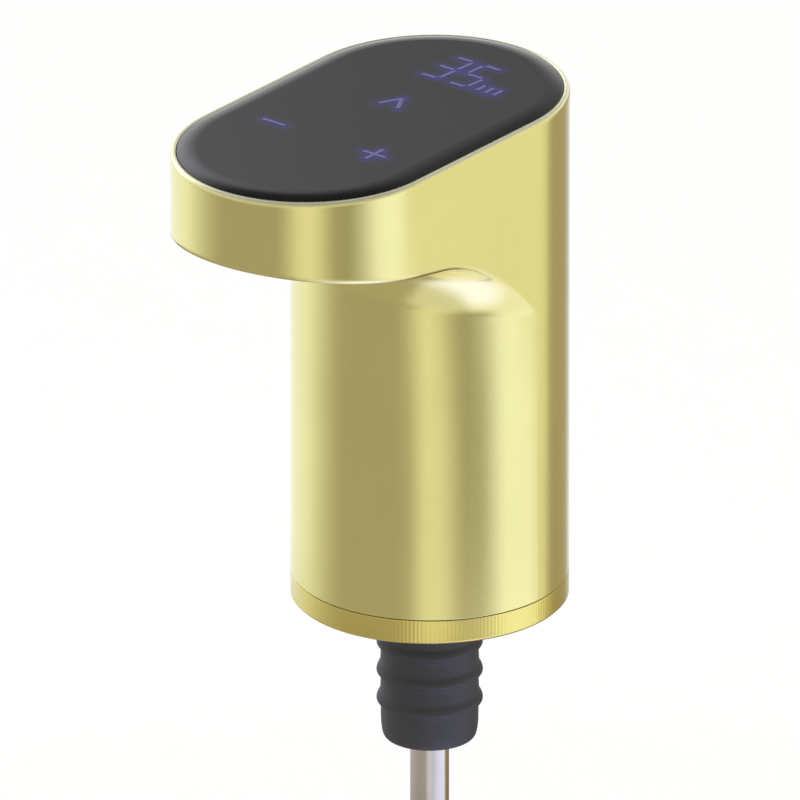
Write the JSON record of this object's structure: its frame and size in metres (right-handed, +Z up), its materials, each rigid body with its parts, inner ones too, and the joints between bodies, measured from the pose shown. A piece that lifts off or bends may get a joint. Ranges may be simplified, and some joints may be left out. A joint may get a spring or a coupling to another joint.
{
  "type": "wine preservation dispenser",
  "caption": "Battery-powered spout that plugs into a wine bottle, seals it, and pumps measured pours through a telescopic tube to a long rounded touch-panel head.",
  "frame": {"origin": "on the column's axis, where the rubber seat meets the bottle's rim", "axes": "+Z up along the column, -Y from the column towards the spout, +X to the right as seen from the spout side"},
  "size_m": [0.05, 0.0835, 0.2175],
  "materials": {
    "gold_shell": "gold anodised, polished satin",
    "gold_ring": "gold anodised, fine knurl",
    "black_glass": "black glass, polished",
    "lit_marks": "lit from below, blue-violet",
    "black_plastic": "fine moulded",
    "white_plastic": "moulded",
    "grey_plastic": "moulded",
    "clear_silicone": "translucent food-grade silicone",
    "dark_silicone": "matte food-grade silicone",
    "foam_tape": "thin adhesive foam",
    "stainless_steel": "drawn tube, bright",
    "plated_steel": "nickel plated",
    "magnet": "sintered ferrite",
    "copper": "enamelled wire",
    "brass": "turned",
    "circuit_board": "solder mask",
    "chip_black": "moulded packages",
    "battery_wrap": "shrink sleeve"
  },
  "bodies": {
    "body": {"aerator_screen": "stainless_steel", "air_tube": "stainless_steel", "battery_cell": "battery_wrap", "battery_contacts": "plated_steel", "board_screws": "plated_steel", "bottle_air_hose": "clear_silicone", "bottle_stopper": "dark_silicone", "bottom_cover": "black_plastic", "charging_port_shell": "plated_steel", "charging_port_tongue": "black_plastic", "control_board": "circuit_board", "control_chips": "chip_black", "digit_marks": "lit_marks", "display_block": "white_plastic", "frame_screws": "plated_steel", "housing": "gold_shell", "inner_frame": "grey_plastic", "key_marks": "lit_marks", "motor_bushes": "brass", "motor_can": "plated_steel", "motor_magnets": "magnet", "nozzle_screws": "plated_steel", "panel_gasket": "foam_tape", "port_block": "white_plastic", "power_board": "circuit_board", "power_chips": "chip_black", "pump_base": "black_plastic", "pump_diaphragm": "dark_silicone", "pump_flap_sheet": "clear_silicone", "pump_head": "black_plastic", "pump_hose": "clear_silicone", "pump_rocker": "white_plastic", "pump_screws": "plated_steel", "spout_nozzle": "black_plastic", "stopper_carrier": "black_plastic", "touch_pads": "foam_tape", "touch_panel": "black_glass", "tube_upper": "stainless_steel", "upper_gland": "black_plastic", "valve_body": "white_plastic", "valve_coil": "copper", "valve_core": "plated_steel", "valve_spring": "stainless_steel", "valve_yoke": "plated_steel", "wine_hose": "clear_silicone", "wine_port_seal": "dark_silicone"},
    "lock_ring": {"lock_ring": "gold_ring"},
    "pump_rotor": {"motor_shaft": "stainless_steel", "motor_armature": "magnet", "motor_windings": "copper", "motor_commutator": "brass", "pump_eccentric": "white_plastic"},
    "valve_plunger": {"valve_plunger": "stainless_steel"},
    "tube_middle": {"tube_middle": "stainless_steel", "lower_gland": "black_plastic", "middle_seal": "dark_silicone"},
    "tube_lower": {"tube_lower": "stainless_steel", "lower_seal": "dark_silicone", "intake_foot": "black_plastic"}
  },
  "joints": [
    {"name": "lock_ring_twist", "type": "hinge", "parent": "body", "child": "lock_ring", "pos_m": [0, 0, 0.0023], "axis": [0, 0, 1], "range_deg": [0, 45]},
    {"name": "middle_tube_slide", "type": "slide", "parent": "body", "child": "tube_middle", "axis": [0, 0, -1], "range_m": [0, 0.08]},
    {"name": "lower_tube_slide", "type": "slide", "parent": "tube_middle", "child": "tube_lower", "axis": [0, 0, -1], "range_m": [0, 0.08]},
    {"name": "pump_rotor_spin", "type": "hinge", "parent": "body", "child": "pump_rotor", "pos_m": [0, -0.01045, 0.0236], "axis": [0, 0, 1], "continuous": true},
    {"name": "valve_plunger_slide", "type": "slide", "parent": "body", "child": "valve_plunger", "axis": [0, -1, 0], "range_m": [0, 0.0012], "stiffness_N_per_m": 300, "springref_m": -0.001, "deforming": ["valve_spring"]}
  ]
}
